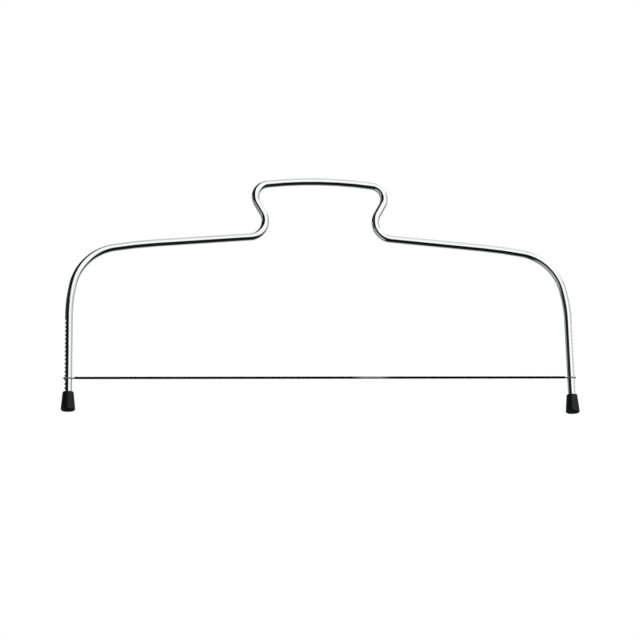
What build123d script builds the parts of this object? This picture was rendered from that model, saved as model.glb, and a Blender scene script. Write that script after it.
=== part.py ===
from build123d import *
import math
import os

# Cake leveler: a sprung rod frame with a cutting wire hung across its two notched legs.
# Lengths are in millimetres and angles in degrees. X runs across the tool, the front faces -Y and Z is up.
# The origin lies on the table, midway between the two rubber feet.

# Frame: one steel rod, bent on both sides of the crown to the same bend table
rod_diameter = 4.8
leg_span = 315.0             # between the centrelines of the legs
crown_height = 148.8         # centreline of the rod at the top of the handle
crown_radius = 265.0
crown_fall = 7.3             # slope of the crown where it runs into the handle bend
handle_bend_radius = 8.6
neck_slope = 60.5            # the neck leans in, from the handle bend down to the neck bend
neck_straight = 7.2
neck_bend_radius = 10.7
shoulder_slope = 4.8
shoulder_bow_radius = 300.0
shoulder_bow_angle = 5.0
corner_radius = 31.4
leg_bow_radius = 89.0
leg_bow_angle = 13.3
rod_end_chamfer = 0.4

# Notches down the outer side of each leg, one above the other from the foot to the end of the straight leg
notch_pitch = 2.55
notch_radius = 1.0
notch_depth = 0.75
lowest_notch_gap = 0.75      # from the top of the foot to the middle of the lowest notch

# Cutting wire: three runs of one strand twisted together, which goes on at each end as an eye round the leg
strand_diameter = 0.75
eye_clearance = 0.15         # between the eye and the leg, so that the eye passes the crests of the notches
throat_length = 0.7          # over which the twist narrows to the eye, as the runs part
throat_taper = 0.8           # width of the throat's thin end, as a share of the strand's
neck_length = 3.0            # end of the wire that is drawn with the eye, throat included
left_notch = 3               # notches that the wire hangs in, counted up from the lowest one, which is 0
right_notch = 4

# Rubber feet: tapered caps pushed over the ends of the legs
foot_height = 12.0
foot_wall = 1.0              # rubber round the leg at the cap's mouth
foot_flare = 1.1             # how much the radius grows from the mouth to the base
foot_floor = 2.2             # rubber under the end of the rod
foot_fit = 0.05              # radial clearance between the rod and the bore
foot_edge_radius = 1.4
foot_rim_chamfer = 0.5

# Sizes that follow from those above
rod_radius = rod_diameter / 2
leg_x = leg_span / 2
strand_radius = strand_diameter / 2
wire_radius = (1 / math.sqrt(3) + 0.5) * strand_diameter     # of the circle round three runs that touch
eye_radius = rod_radius + eye_clearance + strand_radius
foot_bore_radius = rod_radius + foot_fit
foot_mouth_radius = foot_bore_radius + foot_wall
foot_base_radius = foot_mouth_radius + foot_flare
lowest_notch = foot_height + lowest_notch_gap
corner_turn = 90 - shoulder_slope - shoulder_bow_angle - leg_bow_angle
wire_rise = (right_notch - left_notch) * notch_pitch
wire_height = lowest_notch + (left_notch + right_notch) / 2 * notch_pitch
wire_tilt = math.degrees(math.atan2(wire_rise, leg_span))
wire_span = math.hypot(leg_span, wire_rise)
twist_length = wire_span - 2 * (eye_radius + neck_length)
upright = (Align.CENTER, Align.CENTER, Align.MIN)


def bend(run, radius, turn):
    """An arc that carries on from the end of a run, turning left where turn is positive."""
    return JernArc(run @ 1, run % 1, radius, turn)


def straight(run, length):
    """A straight that carries on from the end of a run."""
    return Line(run @ 1, run @ 1 + (run % 1) * length)


def reach(radius, slope_in, slope_out):
    """How far out an arc goes while the rod's fall steepens from slope_in to slope_out."""
    return radius * (math.sin(math.radians(slope_out)) - math.sin(math.radians(slope_in)))


def corner_reach():
    """How far out the shoulder bow, the corner and the leg bow go together."""
    bow_end = shoulder_slope + shoulder_bow_angle
    corner_end = bow_end + corner_turn
    return (
        reach(shoulder_bow_radius, shoulder_slope, bow_end)
        + reach(corner_radius, bow_end, corner_end)
        + reach(leg_bow_radius, corner_end, 90)
    )


def half_outline():
    """The runs of the right half of the rod's centreline, from the crown out and down to the foot."""
    crown = JernArc((0, crown_height), (1, 0), crown_radius, -crown_fall)
    handle_bend = bend(crown, handle_bend_radius, crown_fall + neck_slope - 180)
    neck = straight(handle_bend, neck_straight)
    neck_bend = bend(neck, neck_bend_radius, 180 - neck_slope - shoulder_slope)
    shoulder_run = leg_x - corner_reach() - (neck_bend @ 1).X
    shoulder = straight(neck_bend, shoulder_run / math.cos(math.radians(shoulder_slope)))
    shoulder_bow = bend(shoulder, shoulder_bow_radius, -shoulder_bow_angle)
    corner = bend(shoulder_bow, corner_radius, -corner_turn)
    leg_bow = bend(corner, leg_bow_radius, -leg_bow_angle)
    leg = Line(leg_bow @ 1, (leg_x, foot_floor))
    return [crown, handle_bend, neck, neck_bend, shoulder, shoulder_bow, corner, leg_bow, leg]


def notch_heights(straight_top):
    """Heights of the notches that fit on the straight leg, from the lowest one up."""
    count = int((straight_top - notch_radius - lowest_notch) / notch_pitch) + 1
    return [lowest_notch + index * notch_pitch for index in range(count)]


def notch_cutters(heights):
    """Round bars that lie across both legs and bite into their outer sides."""
    offset = leg_x + rod_radius + notch_radius - notch_depth
    bar = Rot(90, 0, 0) * Cylinder(notch_radius, 2 * rod_diameter)
    return [Pos(side * offset, 0, height) * bar for side in (-1, 1) for height in heights]


def bent_frame():
    """The rod frame: legs, corners, shoulders, necks and crown in one piece, with its notches."""
    half = half_outline()
    straight_top = (half[-1] @ 0).Y
    edges = [edge for run in half for edge in run.edges()]
    mirrored = [edge.mirror(Plane.YZ) for edge in edges]
    centreline = Plane.XZ * Wire(edges + mirrored)
    section = Plane(origin=centreline @ 0, z_dir=centreline % 0) * Circle(rod_radius)
    rod = sweep(section, path=centreline)
    rod = chamfer(rod.edges().group_by(Axis.Z)[0], rod_end_chamfer)
    return rod - notch_cutters(notch_heights(straight_top))


def hung(wire_shape):
    """Moves a shape that is drawn along X, about the origin, to where the wire hangs."""
    return Pos(0, 0, wire_height) * Rot(0, -wire_tilt, 0) * wire_shape


def cutting_wire():
    """The straight twist, as a bar of its outer diameter, from one eye's neck to the other's."""
    return hung(Rot(0, 90, 0) * Cylinder(wire_radius, twist_length))


def wire_eye(turn):
    """An eye round the right leg with its neck, which a half turn about Z takes to the left leg."""
    neck = Cylinder(wire_radius, neck_length - throat_length, align=upright)
    throat = Cone(wire_radius, throat_taper * strand_radius, throat_length, align=upright)
    stem = neck + Pos(0, 0, neck_length - throat_length) * throat
    ring = Torus(eye_radius, strand_radius)
    eye = Pos(twist_length / 2, 0, 0) * Rot(0, 90, 0) * stem + Pos(wire_span / 2, 0, 0) * ring
    return hung(Rot(0, 0, turn) * eye)


def rubber_foot(side):
    """A tapered cap with a round base edge and a blind bore that the end of the leg fills."""
    cap = Cone(foot_base_radius, foot_mouth_radius, foot_height, align=upright)
    cap = chamfer(cap.edges().group_by(Axis.Z)[-1], foot_rim_chamfer)
    cap = fillet(cap.edges().group_by(Axis.Z)[0], foot_edge_radius)
    bore = Pos(0, 0, foot_floor) * Cylinder(foot_bore_radius, foot_height, align=upright)
    return Pos(side * leg_x, 0, 0) * (cap - bore)


nodes = {
    "bent_frame": bent_frame(),
    "cutting_wire": cutting_wire(),
    "left_wire_eye": wire_eye(180),
    "right_wire_eye": wire_eye(0),
    "left_foot": rubber_foot(-1),
    "right_foot": rubber_foot(1),
}

os.makedirs("parts", exist_ok=True)
for name, solid in nodes.items():
    export_step(solid, f"parts/{name}.step")
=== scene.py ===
import math

import bpy
from mathutils import Matrix, Vector

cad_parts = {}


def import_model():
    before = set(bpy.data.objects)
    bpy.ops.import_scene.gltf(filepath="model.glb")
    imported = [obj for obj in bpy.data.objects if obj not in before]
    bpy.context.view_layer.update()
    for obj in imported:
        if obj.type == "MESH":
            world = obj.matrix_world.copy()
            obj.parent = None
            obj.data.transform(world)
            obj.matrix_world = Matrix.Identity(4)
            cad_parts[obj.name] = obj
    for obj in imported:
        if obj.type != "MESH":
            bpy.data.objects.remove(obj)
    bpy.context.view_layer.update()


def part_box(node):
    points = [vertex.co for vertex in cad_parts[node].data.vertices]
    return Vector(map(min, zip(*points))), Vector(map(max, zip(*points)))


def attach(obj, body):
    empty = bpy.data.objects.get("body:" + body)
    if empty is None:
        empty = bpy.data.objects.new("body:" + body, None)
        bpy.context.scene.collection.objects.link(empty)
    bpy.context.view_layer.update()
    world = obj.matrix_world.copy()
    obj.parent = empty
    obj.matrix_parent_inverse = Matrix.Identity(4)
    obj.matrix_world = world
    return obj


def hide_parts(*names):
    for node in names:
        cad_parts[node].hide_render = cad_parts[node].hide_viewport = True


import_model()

# Cake leveler. Lengths are in metres and angles in degrees, in the frame of the solids:
# X runs across the tool, the front faces -Y and Z is up from the table.


def middle(node):
    low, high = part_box(node)
    return (low + high) / 2


def half_size(node):
    low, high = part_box(node)
    return (high - low) / 2


# Rod: its bend table is the one that the solid was bent to
ROD_RADIUS = half_size("bent_frame").y
ROD_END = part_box("bent_frame")[0].z
ROD_END_CHAMFER = 0.0004
LEG_X = middle("right_foot").x
CROWN_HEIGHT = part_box("bent_frame")[1].z - ROD_RADIUS
CROWN_RADIUS = 0.265
CROWN_FALL = 7.3
HANDLE_BEND_RADIUS = 0.0086
NECK_SLOPE = 60.5
NECK_STRAIGHT = 0.0072
NECK_BEND_RADIUS = 0.0107
SHOULDER_SLOPE = 4.8
SHOULDER_BOW_RADIUS = 0.300
SHOULDER_BOW_ANGLE = 5.0
CORNER_RADIUS = 0.0314
LEG_BOW_RADIUS = 0.089
LEG_BOW_ANGLE = 13.3
ARC_STEP = 2.5               # turn of the rod between two rings of its mesh
ROD_SIDES = 64
OUTER_CROWDING = 0.5         # how much closer the sides lie where the notches are cut
UPRIGHT_TOLERANCE = 0.01     # on a station's heading, to tell the straight legs from their bends

# Notches, on the outer side of each leg
NOTCH_COUNT = 18
NOTCH_PITCH = 0.00255
NOTCH_RADIUS = 0.0010
NOTCH_DEPTH = 0.00075
LOWEST_NOTCH = 0.01275
NOTCH_RINGS = (0.0, 0.3, 0.55, 0.75, 0.87, 0.94, 0.985, 1.03, 1.12)     # in notch radii from its middle
CREST_SOFTENING = 0.00014

# Wire: three runs of one strand, twisted together between two eyes
STRAND_RADIUS = 0.000375
RUN_REACH = 2 * STRAND_RADIUS / math.sqrt(3)     # from the wire's middle to each of three runs that touch
EYE_RADIUS = half_size("right_wire_eye").y - STRAND_RADIUS
LEFT_EYE = Vector((-LEG_X, 0, middle("left_wire_eye").z))
RIGHT_EYE = Vector((LEG_X, 0, middle("right_wire_eye").z))
WIRE_LAY = 0.0036            # length of one full turn of the twist
FRONT_RUN = 210              # angles of the runs at the right throat: 0 is the back, 90 is the top
BACK_RUN = 330
TUCKED_RUN = 90
THROAT_REACH = 0.0040        # from the middle of the leg to where the runs start to part
LAY_FADE = 0.0015            # over which the twist slows down to the throat
PARTING_PULL = 0.42          # how stiffly a run parts, as a share of its way from throat to circle
PARTING_STEPS = 10
HUG_ANGLE = 40.0             # from the throat round to where the strand lies against its circle
CLIMB_START = 110            # angles round the eye between which the strand climbs by its radius
CLIMB_END = 250
EYE_STEPS = 56
STRAND_SIDES = 12
STEPS_PER_TURN = 16
ROUND_END_ANGLES = (25, 50, 75)
RUB_START = 0.1546           # across the front of the legs, where the blackening is rubbed off the eyes
RUB_END = 0.1597
RUB_EDGE = 0.0004
# Painted highlight: a stretch of the wire painted as bare steel, standing in for a lamp's highlight
PAINTED_HIGHLIGHT = 0.030            # along the span, the middle of a painted highlight
PAINTED_HIGHLIGHT_REACH = 0.0075
PAINTED_HIGHLIGHT_EDGE = 0.006
PAINTED_HIGHLIGHT_SHARE = 0.6

# Feet
FOOT_HEIGHT = 2 * half_size("right_foot").z
FOOT_MOUTH_RADIUS = 0.00345
FOOT_BASE_RADIUS = 0.00455
FOOT_EDGE_RADIUS = 0.0014
FOOT_LIP_RADIUS = 0.0008
BORE_GAP = 0.00003
BORE_EDGE_RADIUS = 0.0002
BORE_SHOWN = 0.003           # how deep the cap's inside is drawn
EDGE_STEPS = 14
LIP_STEPS = 10
BORE_EDGE_STEPS = 4
BASE_SHARES = (0.4, 0.9)     # of the flat base's radius, where it has rings of its own
SIDE_SHARES = (0.04, 0.5, 0.96)     # of the way up the tapered side
FOOT_SIDES = 72

# Camera, fitted to the photograph's outline of the rod
IMAGE_SIZE = 640
AIM = Vector((0, 0, 0.080))
AIM_PIXEL = (322.0, 286.7)
CAMERA_AZIMUTH = -8.13
CAMERA_ELEVATION = -14.38
CAMERA_ROLL = -1.29
CAMERA_DISTANCE = 1.25
METRES_PER_PIXEL = 0.000628  # at the aim
SENSOR_WIDTH = 36            # in millimetres, as Blender takes it
CLIP_START = 0.01

# Tones of the finishes
CLEAN_PLATING = (0.975, 0.99, 0.99, 1)
HAZY_PLATING = (0.955, 0.975, 0.97, 1)
NOTCH_PLATING = (0.62, 0.63, 0.62, 1)
BLACKENED_STEEL = (0.0012, 0.0014, 0.0014, 1)
STAINED_BLACK = (0.003, 0.0032, 0.0032, 1)
BARE_STEEL = (0.50, 0.50, 0.49, 1)
STAINED_STEEL = (0.40, 0.40, 0.39, 1)
BLACK_RUBBER = (0.0018, 0.0036, 0.0040, 1)
BLOOMED_RUBBER = (0.0032, 0.0056, 0.0062, 1)

# Floor
FLOOR_REACH = 4.0
FLOOR_GAP = 0.0002           # under the feet, so that their bases aren't in the floor's own plane
FLOOR_FADE = (0.4, 1.2)      # distances between which the camera's view of the floor goes to white
FLOOR_DARK = 0.84
FLOOR_LIGHT = 0.87

# Light. The studio is seen by gloss alone, and white, grey and black meet in it along soft edges.
# An edge is a pair of numbers, where it starts and where it ends. They are degrees, or a share along
# an axis. Azimuth is 0 to the front and 90 to the right, elevation is 0 level and 90 straight up, and
# pitch goes from 0 in front over 90 overhead to 180 behind, and below from 0 to -180.
LAMP_AIM = Vector((0, 0, 0.06))
SOFT_LIGHT = 0.55            # level of the plain white that diffuse light sees
WINDOW_TOP = (36, 74)        # pitch
WALL_FOOT = (-163, -93)      # pitch of the lower edge of the wall behind
SIDE_WINDOW = (0.42, 0.55)   # along X, to the left and to the right
SIDE_WINDOW_FOOT = (-0.05, 0.05)
LEFT_WALL_SHADE = (-0.3, 0.1)     # along Z, where the left part of the wall gets lighter
WALL_JOINT = (-0.10, 0.15)   # along X, between the wall's left and right parts
LOW_WALL_TOP = (0.45, 0.60)  # along Z
LOW_WALLS = (                # azimuth of both sides, their softness, and the tone
    (58, 166, 16, (0.58, 0.61, 0.60, 1)),
    (98, 140, 6, (0.34, 0.36, 0.355, 1)),
    (-168, -62, 5, (0.28, 0.31, 0.30, 1)),
)
FLOOR_LEAN = 0.68            # how much further left a ray counts as going, as a share of its fall
LEFT_FLOOR = (-1.04, -0.90)  # along X, with that lean
LEFT_FLOOR_TOP = (-0.12, 0.05)    # along Z, and the foot of the wing above it
WING_FRONT = (-16, -6)       # azimuth
WING_BACK = (-103, -87)      # azimuth
HIGH_WING_FOOT = (15, 22)    # elevation from which the wing goes on round the back
HIGH_WING_END = (-0.4, -0.15)     # along X, where it ends there
ROOF_HEIGHT = 21.0           # lowest elevation of the wing's top edge
ROOF_SLOPE = -1.15           # climb of that edge to the left, in degrees for each degree of azimuth
ROOF_START = -2.5            # elevation that the climb would have straight in front
ROOF_EDGE = (-5, 5)          # about the roof's height
FRONT_LEAN = 50.0            # how the under side's front edge climbs to the left, in degrees of pitch
FRONT_EDGE = (-11, 8)        # pitch of that edge straight in front
RIGHT_UNDER_SIDE = (0.65, 0.95)   # along X, where the under side turns from black to dark grey
BLACK = (0.005, 0.009, 0.0075, 1)
CARD_GREY = (0.04, 0.052, 0.047, 1)
DARK_GREY = (0.06, 0.075, 0.07, 1)
SCREEN_GREY = (0.085, 0.10, 0.095, 1)
FLOOR_GREY = (0.33, 0.36, 0.35, 1)
SHADED_GREY = (0.36, 0.39, 0.38, 1)
LEFT_GREY = (0.54, 0.57, 0.56, 1)
RIGHT_GREY = (0.69, 0.72, 0.71, 1)


def sine(angle):
    return math.sin(math.radians(angle))


def cosine(angle):
    return math.cos(math.radians(angle))


def mesh_object(name, points, faces, smooth=True):
    mesh = bpy.data.meshes.new(name)
    mesh.from_pydata(points, [], faces)
    mesh.update()
    if smooth:
        mesh.shade_smooth()
    else:
        mesh.shade_flat()
    piece = bpy.data.objects.new(name, mesh)
    bpy.context.scene.collection.objects.link(piece)
    return piece


def tube_faces(rings, sides):
    """Quads that join each ring of a tube to the next one, and a face across each end."""
    faces = []
    for ring in range(rings - 1):
        start, after = ring * sides, (ring + 1) * sides
        for side in range(sides):
            turned = (side + 1) % sides
            faces.append((start + side, start + turned, after + turned, after + side))
    last = (rings - 1) * sides
    return faces + [tuple(range(sides))[::-1], tuple(range(last, last + sides))]


# The rod's centreline is a list of stations (x, z, heading), where heading 0 runs along +X and 90 runs up
def arc(stations, radius, turn):
    """Carries the centreline on along an arc, turning left where turn is positive."""
    x, z, heading = stations[-1]
    side = math.copysign(radius, turn)
    centre_x, centre_z = x - side * sine(heading), z + side * cosine(heading)
    steps = math.ceil(abs(turn) / ARC_STEP)
    for step in range(1, steps + 1):
        now = heading + turn * step / steps
        stations.append((centre_x + side * sine(now), centre_z - side * cosine(now), now))


def straight(stations, length):
    x, z, heading = stations[-1]
    stations.append((x + length * cosine(heading), z + length * sine(heading), heading))


def reach(radius, slope_in, slope_out):
    """How far out an arc goes while the rod's fall steepens from slope_in to slope_out."""
    return radius * (sine(slope_out) - sine(slope_in))


def leg_stations(top):
    """Heights of the rings down a straight leg: crowded round every notch, and at the chamfered end."""
    heights = [top]
    for notch in reversed(range(NOTCH_COUNT)):
        level = LOWEST_NOTCH + notch * NOTCH_PITCH
        offsets = [share * NOTCH_RADIUS for share in NOTCH_RINGS]
        heights += [level + offset for offset in reversed(offsets[1:])]
        heights += [level - offset for offset in offsets]
    heights += [ROD_END + ROD_END_CHAMFER, ROD_END]
    return heights


def half_centreline():
    """The right half of the rod, from the crown out and down to the end of the leg."""
    bow_end = SHOULDER_SLOPE + SHOULDER_BOW_ANGLE
    corner_end = 90 - LEG_BOW_ANGLE
    stations = [(0, CROWN_HEIGHT, 0)]
    arc(stations, CROWN_RADIUS, -CROWN_FALL)
    arc(stations, HANDLE_BEND_RADIUS, CROWN_FALL + NECK_SLOPE - 180)
    straight(stations, NECK_STRAIGHT)
    arc(stations, NECK_BEND_RADIUS, 180 - NECK_SLOPE - SHOULDER_SLOPE)
    bends_reach = (
        reach(SHOULDER_BOW_RADIUS, SHOULDER_SLOPE, bow_end)
        + reach(CORNER_RADIUS, bow_end, corner_end)
        + reach(LEG_BOW_RADIUS, corner_end, 90)
    )
    shoulder_run = LEG_X - bends_reach - stations[-1][0]
    straight(stations, shoulder_run / cosine(SHOULDER_SLOPE))
    arc(stations, SHOULDER_BOW_RADIUS, -SHOULDER_BOW_ANGLE)
    arc(stations, CORNER_RADIUS, bow_end - corner_end)
    arc(stations, LEG_BOW_RADIUS, -LEG_BOW_ANGLE)
    stations += [(LEG_X, height, -90) for height in leg_stations(stations[-1][1])[1:]]
    return stations


def notch_limit(height):
    """How far out the notches leave the leg's steel at a height, from the leg's centreline."""
    nearest = round((height - LOWEST_NOTCH) / NOTCH_PITCH)
    nearest = min(max(nearest, 0), NOTCH_COUNT - 1)
    drop = (height - LOWEST_NOTCH - nearest * NOTCH_PITCH) / NOTCH_RADIUS
    axis = ROD_RADIUS - NOTCH_DEPTH + NOTCH_RADIUS
    return axis - NOTCH_RADIUS * math.sqrt(max(0, 1 - drop * drop))


def soft_minimum(a, b, softening):
    """The smaller of two lengths, with the corner between them rounded."""
    overlap = max(softening - abs(a - b), 0) / softening
    return min(a, b) - overlap * overlap * softening / 4


def rod_section():
    """Angles round the rod from its outer side, crowded on that side."""
    shares = [side / ROD_SIDES for side in range(ROD_SIDES)]
    return [math.tau * share - OUTER_CROWDING * math.sin(math.tau * share) for share in shares]


def frame_rod():
    """The bent rod as one swept mesh, with the notches pressed into the outer sides of its legs."""
    right = half_centreline()
    left = [(-x, z, -heading) for x, z, heading in reversed(right[1:])]
    stations = left + right
    points, depths = [], []
    for number, (x, z, heading) in enumerate(stations):
        at_end = number in (0, len(stations) - 1)
        radius = ROD_RADIUS - ROD_END_CHAMFER if at_end else ROD_RADIUS
        outward = Vector((-sine(heading), 0, cosine(heading)))
        upright = abs(abs(heading) - 90) < UPRIGHT_TOLERANCE
        notched = upright and not at_end and z < LOWEST_NOTCH + NOTCH_COUNT * NOTCH_PITCH
        for angle in rod_section():
            out, across = radius * math.cos(angle), radius * math.sin(angle)
            cut = soft_minimum(out, notch_limit(z), CREST_SOFTENING) if notched else out
            points.append(Vector((x, across, z)) + outward * cut)
            depths.append(min((out - cut) / NOTCH_DEPTH, 1))
    rod = mesh_object("frame_rod", points, tube_faces(len(stations), ROD_SIDES))
    attribute = rod.data.attributes.new("notch_depth", "FLOAT", "POINT")
    attribute.data.foreach_set("value", depths)
    return rod


def smooth_share(share):
    """A soft step from 0 to 1 as the share goes from 0 to 1."""
    share = min(max(share, 0), 1)
    return share * share * (3 - 2 * share)


def run_offset(angle):
    """Where a run lies about the wire's middle."""
    return Vector((0, cosine(angle), sine(angle))) * RUN_REACH


def twist_run(span, last_angle):
    """One run of the twist, from the left throat to the angle that it has at the right one."""
    length = span - 2 * THROAT_REACH
    twisted = length - LAY_FADE
    turns = round(twisted / WIRE_LAY) - 1 / 3
    steps = math.ceil(turns * STEPS_PER_TURN)
    points = []
    for step in range(steps + 1):
        along = length * (step / steps - 0.5)
        into_fade = max(abs(along) - length / 2 + LAY_FADE, 0)
        turned = math.copysign(abs(along) - into_fade * into_fade / (2 * LAY_FADE), along)
        angle = last_angle + 360 * turns * (turned / twisted - 0.5)
        points.append(Vector((along, 0, 0)) + run_offset(angle))
    return points


def bezier(start, start_pull, end_pull, end, steps):
    """Points between the two ends of a curve, which are left out."""
    points = []
    for step in range(1, steps):
        t = step / steps
        s = 1 - t
        points.append(s**3 * start + 3 * s * s * t * start_pull + 3 * s * t * t * end_pull + t**3 * end)
    return points


def eye_run(span):
    """The right eye, from the front run's throat round the front, the outer side and the back."""
    centre = Vector((span / 2, 0, 0))
    throat = centre + Vector((-THROAT_REACH, 0, 0))

    def on_circle(angle):
        climb = smooth_share((angle - CLIMB_START) / (CLIMB_END - CLIMB_START))
        drop = STRAND_RADIUS * (1 - climb)
        return centre + Vector((-EYE_RADIUS * cosine(angle), -EYE_RADIUS * sine(angle), -drop))

    def parting(run_angle, hug_angle):
        """Points from a run's end in the throat to where it lies against the circle."""
        start, landing = throat + run_offset(run_angle), on_circle(hug_angle)
        side = 1 if hug_angle < 180 else -1
        heading = Vector((sine(HUG_ANGLE), -side * cosine(HUG_ANGLE), 0))
        pull = PARTING_PULL * (landing - start).length
        along = Vector((pull, 0, 0))
        return bezier(start, start + along, landing - pull * heading, landing, PARTING_STEPS)

    hug_turn = 360 - 2 * HUG_ANGLE
    circle = [on_circle(HUG_ANGLE + hug_turn * step / EYE_STEPS) for step in range(EYE_STEPS + 1)]
    return parting(FRONT_RUN, HUG_ANGLE) + circle + parting(BACK_RUN, 360 - HUG_ANGLE)[::-1]


def wire_path():
    """One strand in three runs, round the left leg and the right one, with both ends tucked in."""
    span = (RIGHT_EYE - LEFT_EYE).length
    right = eye_run(span)
    left = [Vector((-point.x, point.y, point.z)) for point in right]
    first, second, third = (twist_run(span, angle) for angle in (TUCKED_RUN, FRONT_RUN, BACK_RUN))
    path = first[::-1] + left + second + right + third[::-1]
    along = (RIGHT_EYE - LEFT_EYE).normalized()
    turn = Matrix.Rotation(-math.atan2(along.z, along.x), 3, "Y")
    centre = (LEFT_EYE + RIGHT_EYE) / 2
    return [turn @ point + centre for point in path]


def round_end(point, beyond):
    """Rings of a half round end, as (point, radius), past a point in the direction of a unit vector."""
    rings = []
    for angle in ROUND_END_ANGLES:
        rings.append((point + STRAND_RADIUS * sine(angle) * beyond, STRAND_RADIUS * cosine(angle)))
    return rings


def twisted_wire():
    """The wire as one tube along its path, with round ends and the section carried round without spin."""
    path = wire_path()
    first = (path[0] - path[1]).normalized()
    last = (path[-1] - path[-2]).normalized()
    body = [(point, STRAND_RADIUS) for point in path]
    rings = round_end(path[0], first)[::-1] + body + round_end(path[-1], last)
    normal = Vector((0, 0, 1))
    points = []
    for number, (point, radius) in enumerate(rings):
        before, after = rings[max(number - 1, 0)][0], rings[min(number + 1, len(rings) - 1)][0]
        tangent = (after - before).normalized()
        normal = (normal - tangent * normal.dot(tangent)).normalized()
        across = tangent.cross(normal)
        for side in range(STRAND_SIDES):
            angle = math.tau * side / STRAND_SIDES
            points.append(point + radius * (math.cos(angle) * normal + math.sin(angle) * across))
    return mesh_object("twisted_wire", points, tube_faces(len(rings), STRAND_SIDES))


def fan(centre, radius, start, end, steps):
    """Points round an arc of a profile, from one angle to another."""
    angles = [start + (end - start) * step / steps for step in range(steps + 1)]
    return [(centre[0] + radius * cosine(angle), centre[1] + radius * sine(angle)) for angle in angles]


def foot_profile():
    """The cap's outline from its base up to the mouth and into the bore, as (radius, height)."""
    slope = math.degrees(math.atan2(FOOT_BASE_RADIUS - FOOT_MOUTH_RADIUS, FOOT_HEIGHT))
    edge_x = FOOT_BASE_RADIUS - FOOT_EDGE_RADIUS * math.tan(math.radians((90 + slope) / 2))
    edge = fan((edge_x, FOOT_EDGE_RADIUS), FOOT_EDGE_RADIUS, -90, slope, EDGE_STEPS)
    lip_centre = (FOOT_MOUTH_RADIUS - FOOT_LIP_RADIUS, FOOT_HEIGHT - FOOT_LIP_RADIUS)
    lip = fan(lip_centre, FOOT_LIP_RADIUS, slope, 90, LIP_STEPS)
    (low_x, low_z), (high_x, high_z) = edge[-1], lip[0]
    rise_x, rise_z = high_x - low_x, high_z - low_z
    side = [(low_x + rise_x * share, low_z + rise_z * share) for share in SIDE_SHARES]
    bore = ROD_RADIUS + BORE_GAP
    bore_centre = (bore + BORE_EDGE_RADIUS, FOOT_HEIGHT - BORE_EDGE_RADIUS)
    bore_edge = fan(bore_centre, BORE_EDGE_RADIUS, 90, 180, BORE_EDGE_STEPS)
    base = [(share * edge_x, 0) for share in BASE_SHARES]
    return base + edge + side + lip + bore_edge + [(bore, FOOT_HEIGHT - BORE_SHOWN)]


def foot_cap(name, x):
    """A rubber cap turned from its profile, open at the mouth where the leg goes in."""
    profile = foot_profile()
    points = []
    for radius, height in profile:
        for side in range(FOOT_SIDES):
            angle = math.tau * side / FOOT_SIDES
            points.append((x + radius * math.cos(angle), radius * math.sin(angle), height))
    return mesh_object(name, points, tube_faces(len(profile), FOOT_SIDES))


class Graph:
    """Fills a node tree: each node takes its inputs as numbers, colours or other nodes' sockets."""

    def __init__(self, tree):
        tree.nodes.clear()
        self.tree = tree

    def node(self, kind, inputs=None, **settings):
        new = self.tree.nodes.new(kind)
        for name, value in settings.items():
            setattr(new, name, value)
        for name, value in (inputs or {}).items():
            if isinstance(value, bpy.types.NodeSocket):
                self.tree.links.new(value, new.inputs[name])
            else:
                new.inputs[name].default_value = value
        return new

    def math(self, operation, *values):
        return self.node("ShaderNodeMath", dict(enumerate(values)), operation=operation).outputs[0]

    def product(self, first, *others):
        """Shares multiplied, so that the result is 1 only where all of them are."""
        for other in others:
            first = self.math("MULTIPLY", first, other)
        return first

    def opposite(self, share):
        return self.math("SUBTRACT", 1.0, share)

    def between(self, share, low, high):
        """A number that goes from low to high with the share."""
        return self.math("MULTIPLY_ADD", share, high - low, low)

    def degrees(self, operation, *values):
        """The angle that an operation gives, in degrees."""
        return self.math("MULTIPLY", self.math(operation, *values), 180 / math.pi)

    def rise(self, value, low, high):
        """0 below low, 1 above high and a soft step between them."""
        inputs = {"Value": value, "From Min": low, "From Max": high}
        return self.node("ShaderNodeMapRange", inputs, interpolation_type="SMOOTHSTEP").outputs["Result"]

    def fall(self, value, low, high):
        """1 below low, 0 above high and a soft step between them."""
        return self.opposite(self.rise(value, low, high))

    def band(self, value, low, high, softness):
        """1 between low and high, falling softly to 0 on both sides."""
        up = self.rise(value, low - softness, low + softness)
        down = self.rise(value, high - softness, high + softness)
        return self.math("SUBTRACT", up, down)

    def mix(self, share, first, second):
        """Mixed colours. The node's colour sockets go by number, since their names repeat."""
        inputs = {"Factor": share, 6: first, 7: second}
        return self.node("ShaderNodeMix", inputs, data_type="RGBA").outputs[2]

    def place(self):
        """The point on the piece, in metres."""
        return self.node("ShaderNodeTexCoord").outputs["Object"]

    def noise(self, place, scale, detail):
        inputs = {"Vector": place, "Scale": scale, "Detail": detail}
        return self.node("ShaderNodeTexNoise", inputs).outputs["Fac"]

    def bump(self, height, strength, distance):
        inputs = {"Height": height, "Strength": strength, "Distance": distance}
        return self.node("ShaderNodeBump", inputs).outputs[0]

    def principled(self, inputs):
        shader = self.node("ShaderNodeBsdfPrincipled", inputs)
        self.node("ShaderNodeOutputMaterial", {"Surface": shader.outputs[0]})


def material(name):
    made = bpy.data.materials.new(name)
    made.use_nodes = True
    return made, Graph(made.node_tree)


def grey(value):
    return (value, value, value, 1)


def chrome():
    """Bright plating with a faint haze and fine scuffs, duller inside the notches."""
    made, graph = material("bright_chrome")
    place = graph.place()
    depth = graph.node("ShaderNodeAttribute", attribute_name="notch_depth").outputs["Fac"]
    in_notch = graph.rise(depth, 0.15, 0.6)
    haze = graph.noise(place, scale=90, detail=4)
    scuffs = graph.noise(place, scale=700, detail=2)
    polish = graph.between(graph.rise(haze, 0.45, 0.75), 0.045, 0.095)
    rough = graph.math("MULTIPLY_ADD", in_notch, 0.16, polish)
    plating = graph.mix(graph.rise(haze, 0.35, 0.7), CLEAN_PLATING, HAZY_PLATING)
    colour = graph.mix(in_notch, plating, NOTCH_PLATING)
    relief = graph.bump(scuffs, strength=0.02, distance=0.0002)
    graph.principled({"Base Color": colour, "Metallic": 1.0, "Roughness": rough, "Normal": relief})
    return made


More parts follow.
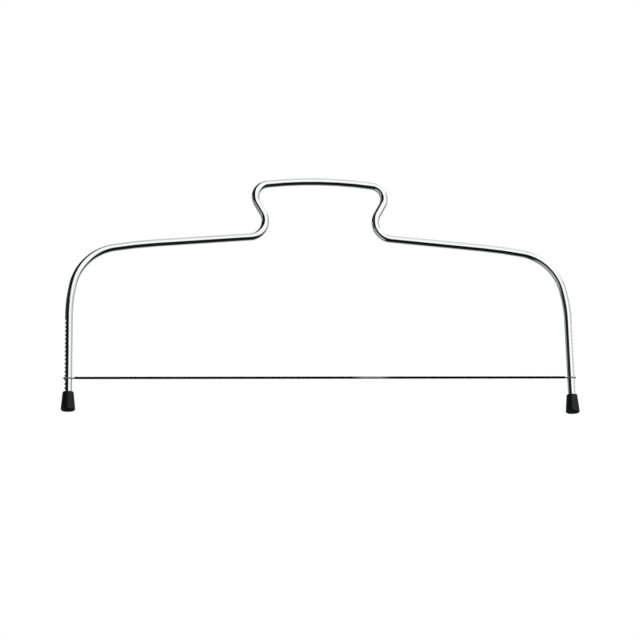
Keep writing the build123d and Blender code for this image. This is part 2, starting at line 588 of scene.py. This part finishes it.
def wire_steel():
    """Blackened drawn steel, rubbed bright where the eyes slide on the legs, with a painted highlight: one
    stretch of the span painted as bare steel.
    """
    made, graph = material("dark_drawn_steel")
    place = graph.place()
    x = graph.node("ShaderNodeSeparateXYZ", {0: place}).outputs[0]
    stain = graph.noise(place, scale=260, detail=4)
    eyes = graph.band(graph.math("ABSOLUTE", x), RUB_START, RUB_END, RUB_EDGE)
    # painted highlight: bare steel along one stretch of the span, standing in for a lamp's highlight; the
    # eyes' band is real rubbed wear
    painted_highlight = graph.band(x, PAINTED_HIGHLIGHT - PAINTED_HIGHLIGHT_REACH, PAINTED_HIGHLIGHT + PAINTED_HIGHLIGHT_REACH, PAINTED_HIGHLIGHT_EDGE)
    rubbed_and_highlight = graph.math("MAXIMUM", eyes, graph.product(painted_highlight, PAINTED_HIGHLIGHT_SHARE))
    stained = graph.rise(stain, 0.4, 0.7)
    black = graph.mix(stained, BLACKENED_STEEL, STAINED_BLACK)
    bare = graph.mix(stained, BARE_STEEL, STAINED_STEEL)
    graph.principled({
        "Base Color": graph.mix(rubbed_and_highlight, black, bare),
        "Metallic": rubbed_and_highlight,
        "Roughness": graph.between(stain, 0.25, 0.40),
        "Specular IOR Level": 0.04,
    })
    return made


def rubber():
    """Black moulded rubber with a slight bloom and grain, matt on the side that it stands on."""
    made, graph = material("moulded_rubber")
    place = graph.place()
    bloom = graph.noise(place, scale=320, detail=4)
    grain = graph.noise(place, scale=2600, detail=2)
    facing = graph.node("ShaderNodeNewGeometry").outputs["Normal"]
    facing_up = graph.node("ShaderNodeSeparateXYZ", {0: facing}).outputs[2]
    moulded = graph.between(graph.fall(facing_up, -0.9, -0.3), 0.20, 0.80)
    graph.principled({
        "Base Color": graph.mix(graph.rise(bloom, 0.35, 0.7), BLACK_RUBBER, BLOOMED_RUBBER),
        "Roughness": graph.math("MULTIPLY_ADD", bloom, 0.12, moulded),
        "Specular IOR Level": 0.30,
        "Normal": graph.bump(grain, strength=0.08, distance=0.0001),
    })
    return made


def floor():
    """A pale floor that is seen from above only, since the photograph is taken from below its level."""
    far = FLOOR_REACH
    corners = [(-far, -far), (far, -far), (far, far), (-far, far)]
    plane = mesh_object("pale_floor", [(x, y, -FLOOR_GAP) for x, y in corners], [(0, 1, 2, 3)])
    made, graph = material("pale_floor")
    place = graph.place()
    tone = graph.mix(graph.noise(place, scale=3, detail=2), grey(FLOOR_DARK), grey(FLOOR_LIGHT))
    surface = graph.node("ShaderNodeBsdfPrincipled", {"Base Color": tone, "Roughness": 0.9})
    clear = graph.node("ShaderNodeBsdfTransparent")
    behind = graph.node("ShaderNodeNewGeometry").outputs["Backfacing"]
    rays = graph.node("ShaderNodeLightPath").outputs
    away = graph.node("ShaderNodeVectorMath", {0: place}, operation="LENGTH").outputs["Value"]
    faded = graph.product(graph.rise(away, *FLOOR_FADE), rays["Is Camera Ray"])
    through = graph.math("MAXIMUM", graph.math("MAXIMUM", behind, rays["Is Glossy Ray"]), faded)
    shown = graph.node("ShaderNodeMixShader", {0: through, 1: surface.outputs[0], 2: clear.outputs[0]})
    graph.node("ShaderNodeOutputMaterial", {"Surface": shown.outputs[0]})
    plane.data.materials.append(made)


class Ray:
    """Where a ray goes: its parts along the axes and its angles, as the studio's edges take them."""

    def __init__(self, graph):
        direction = graph.node("ShaderNodeTexCoord").outputs["Generated"]
        self.x, y, self.z = graph.node("ShaderNodeSeparateXYZ", {0: direction}).outputs
        front = graph.math("MULTIPLY", y, -1.0)
        self.azimuth = graph.degrees("ARCTAN2", self.x, front)
        self.pitch = graph.degrees("ARCTAN2", self.z, front)
        self.elevation = graph.degrees("ARCSINE", self.z)
        self.leaning = graph.math("MULTIPLY_ADD", self.z, FLOOR_LEAN, self.x)


def window_and_walls(graph, ray):
    """White in front and high at both sides, and grey walls overhead and behind."""
    window = graph.product(graph.fall(ray.pitch, *WINDOW_TOP), graph.rise(ray.pitch, *WALL_FOOT))
    off_middle = graph.math("ABSOLUTE", ray.x)
    aside = graph.product(graph.rise(off_middle, *SIDE_WINDOW), graph.rise(ray.z, *SIDE_WINDOW_FOOT))
    shut = graph.product(graph.opposite(window), graph.opposite(aside))
    left_wall = graph.mix(graph.rise(ray.z, *LEFT_WALL_SHADE), SHADED_GREY, LEFT_GREY)
    wall = graph.mix(graph.rise(ray.x, *WALL_JOINT), left_wall, RIGHT_GREY)
    colour = graph.mix(shut, grey(1.0), wall)
    low = graph.fall(ray.z, *LOW_WALL_TOP)
    for start, end, softness, tone in LOW_WALLS:
        share = graph.product(graph.band(ray.azimuth, start, end, softness), low)
        colour = graph.mix(share, colour, tone)
    return colour


def left_floor(graph, ray):
    """Share of a ray that meets the grey floor, far to the left."""
    return graph.product(graph.fall(ray.leaning, *LEFT_FLOOR), graph.fall(ray.z, *LEFT_FLOOR_TOP))


def left_wing(graph, ray):
    """Share of a ray that meets the black wing at the left, under its sloping top edge."""
    slope = graph.math("MULTIPLY_ADD", ray.azimuth, ROOF_SLOPE, ROOF_START)
    roof = graph.math("MAXIMUM", slope, ROOF_HEIGHT)
    under_roof = graph.fall(graph.math("SUBTRACT", ray.elevation, roof), *ROOF_EDGE)
    above_floor = graph.rise(ray.z, *LEFT_FLOOR_TOP)
    high = graph.product(graph.rise(ray.elevation, *HIGH_WING_FOOT), graph.fall(ray.x, *HIGH_WING_END))
    before_back = graph.math("MAXIMUM", graph.rise(ray.azimuth, *WING_BACK), high)
    return graph.product(graph.fall(ray.azimuth, *WING_FRONT), before_back, under_roof, above_floor)


def under_side(graph, ray):
    """Share of a ray that meets the dark under side, from its front edge to the wall behind."""
    front = graph.math("MULTIPLY_ADD", ray.x, FRONT_LEAN, ray.pitch)
    below = graph.math("SUBTRACT", graph.rise(ray.pitch, *WALL_FOOT), graph.rise(front, *FRONT_EDGE))
    return graph.product(below, graph.rise(ray.leaning, *LEFT_FLOOR))


def world():
    """White for the camera, soft white for diffuse light, and the studio for gloss."""
    made = bpy.data.worlds.new("studio")
    bpy.context.scene.world = made
    made.use_nodes = True
    graph = Graph(made.node_tree)
    ray = Ray(graph)
    studio = window_and_walls(graph, ray)
    studio = graph.mix(left_floor(graph, ray), studio, FLOOR_GREY)
    studio = graph.mix(left_wing(graph, ray), studio, BLACK)
    dark = graph.mix(graph.rise(ray.x, *RIGHT_UNDER_SIDE), BLACK, DARK_GREY)
    studio = graph.mix(under_side(graph, ray), studio, dark)
    rays = graph.node("ShaderNodeLightPath").outputs
    lit = graph.mix(rays["Is Glossy Ray"], grey(SOFT_LIGHT), studio)
    seen = graph.mix(rays["Is Camera Ray"], lit, grey(1.0))
    shown = graph.node("ShaderNodeBackground", {"Color": seen, "Strength": 1.0})
    graph.node("ShaderNodeOutputWorld", {"Surface": shown.outputs[0]})


def dark_screen(name, start, end, foot, top, tone):
    """An upright panel near the tool, which only reflections see."""
    corners = [(x, y, height) for x, y in (start, end) for height in (foot, top)]
    screen = mesh_object(name, corners, [(0, 2, 3, 1)], smooth=False)
    made, graph = material(name)
    shader = graph.node("ShaderNodeEmission", {"Color": tone, "Strength": 1.0})
    graph.node("ShaderNodeOutputMaterial", {"Surface": shader.outputs[0]})
    screen.data.materials.append(made)
    screen.visible_camera = False
    screen.visible_diffuse = False
    screen.visible_shadow = False


def softbox(name, place, size, power):
    """A square lamp that faces the tool and doesn't show in the gloss."""
    data = bpy.data.lights.new(name, "AREA")
    data.shape = "SQUARE"
    data.size = size
    data.energy = power
    lamp = bpy.data.objects.new(name, data)
    lamp.location = place
    lamp.rotation_euler = (LAMP_AIM - lamp.location).to_track_quat("-Z", "Y").to_euler()
    lamp.visible_glossy = False
    bpy.context.scene.collection.objects.link(lamp)


def camera():
    """The photograph's view, from a little below the tool and from its left, with a slight roll."""
    data = bpy.data.cameras.new("camera")
    viewer = bpy.data.objects.new("camera", data)
    bpy.context.scene.collection.objects.link(viewer)
    across = Vector((cosine(CAMERA_AZIMUTH), sine(CAMERA_AZIMUTH), 0))
    level = Vector((-sine(CAMERA_AZIMUTH), cosine(CAMERA_AZIMUTH), 0))
    up = Vector((0, 0, 1))
    forward = cosine(CAMERA_ELEVATION) * level - sine(CAMERA_ELEVATION) * up
    upright = sine(CAMERA_ELEVATION) * level + cosine(CAMERA_ELEVATION) * up
    right = cosine(CAMERA_ROLL) * across + sine(CAMERA_ROLL) * upright
    top = cosine(CAMERA_ROLL) * upright - sine(CAMERA_ROLL) * across
    turn = Matrix((right, top, -forward)).transposed().to_4x4()
    viewer.matrix_world = Matrix.Translation(AIM - CAMERA_DISTANCE * forward) @ turn
    data.sensor_width = SENSOR_WIDTH
    data.lens = data.sensor_width * CAMERA_DISTANCE / METRES_PER_PIXEL / IMAGE_SIZE
    data.shift_x = (IMAGE_SIZE / 2 - AIM_PIXEL[0]) / IMAGE_SIZE
    data.shift_y = (AIM_PIXEL[1] - IMAGE_SIZE / 2) / IMAGE_SIZE
    data.clip_start = CLIP_START
    bpy.context.scene.camera = viewer


def dress(piece, finish, body, slot, *nodes):
    """Gives a piece its finish, seats it on a body and lets it stand for the nodes. The slot is not used.
    """
    piece.data.materials.append(finish)
    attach(piece, body)
    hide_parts(*nodes)


camera()
dress(frame_rod(), chrome(), "frame", "chrome_rod", "bent_frame")
dress(twisted_wire(), wire_steel(), "wire", "steel_wire", "cutting_wire", "left_wire_eye", "right_wire_eye")
cap_finish = rubber()
dress(foot_cap("left_foot_cap", -LEG_X), cap_finish, "frame", "rubber_foot", "left_foot")
dress(foot_cap("right_foot_cap", LEG_X), cap_finish, "frame", "rubber_foot", "right_foot")
floor()
world()
dark_screen("left_screen", (-0.215, 0.0), (-0.215, 0.095), foot=0.0, top=0.11, tone=SCREEN_GREY)
dark_screen("left_card", (-0.136, -0.30), (-0.25, -0.30), foot=0.06, top=0.15, tone=CARD_GREY)
softbox("key_light", place=(0.9, -0.9, 1.3), size=0.9, power=22)
softbox("fill_light", place=(-1.1, -0.7, 1.1), size=1.2, power=12)
bpy.context.scene.view_settings.view_transform = "Standard"
